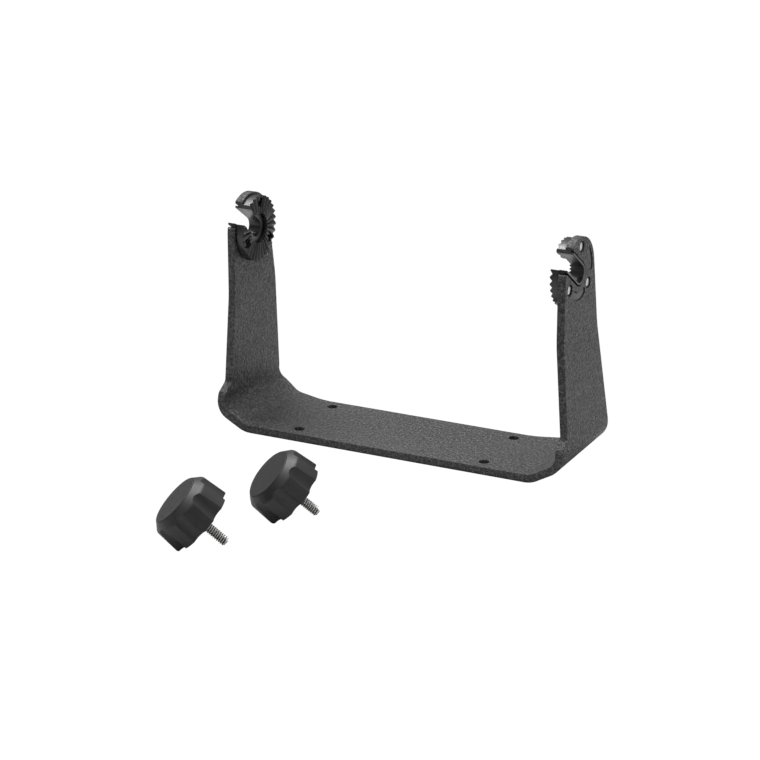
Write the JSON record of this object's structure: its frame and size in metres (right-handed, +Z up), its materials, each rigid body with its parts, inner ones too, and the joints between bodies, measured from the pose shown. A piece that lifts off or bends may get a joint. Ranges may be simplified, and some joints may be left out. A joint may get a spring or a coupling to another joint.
{
  "type": "display bail mount",
  "caption": "U-shaped powder-coated bail bracket with toothed pivot inserts in open-slotted arm heads, and loose fluted clamp knobs on threaded studs, for tilting a boat display.",
  "frame": {"origin": "centre of the base hole rectangle, on the underside of the base", "axes": "+Z up from the base, +X along the pivot axis from the left arm to the right arm, the open ends of the arm slots face -Y (front)"},
  "size_m": [0.2531, 0.2892, 0.1578],
  "materials": {
    "bracket_coat": "textured powder coat, satin",
    "insert_plastic": "smooth moulded, satin",
    "knob_plastic": "fine moulded grain",
    "cap_plastic": "fine moulded grain",
    "pin_steel": "plain, turned end",
    "screw_steel": "plain rolled thread"
  },
  "bodies": {
    "bracket": {"bail_bracket": "bracket_coat", "left_ratchet": "insert_plastic", "right_ratchet": "insert_plastic", "left_pin_top": "pin_steel", "left_pin_rear": "pin_steel", "left_pin_front": "pin_steel", "right_pin_top": "pin_steel", "right_pin_rear": "pin_steel", "right_pin_front": "pin_steel"},
    "left_knob": {"left_knob_grip": "knob_plastic", "left_knob_cap": "cap_plastic", "left_knob_screw": "screw_steel"},
    "right_knob": {"right_knob_grip": "knob_plastic", "right_knob_cap": "cap_plastic", "right_knob_screw": "screw_steel"}
  },
  "joints": [
    {"name": "left_knob_turn", "type": "hinge", "parent": "bracket", "child": "left_knob", "pos_m": [-0.0328, -0.2172, 0.01655], "axis": [0.6327, 0.3668, -0.682], "continuous": true},
    {"name": "right_knob_turn", "type": "hinge", "parent": "bracket", "child": "right_knob", "pos_m": [-0.0036, -0.1532, 0.01685], "axis": [0.5926, 0.4465, -0.6704], "continuous": true}
  ]
}
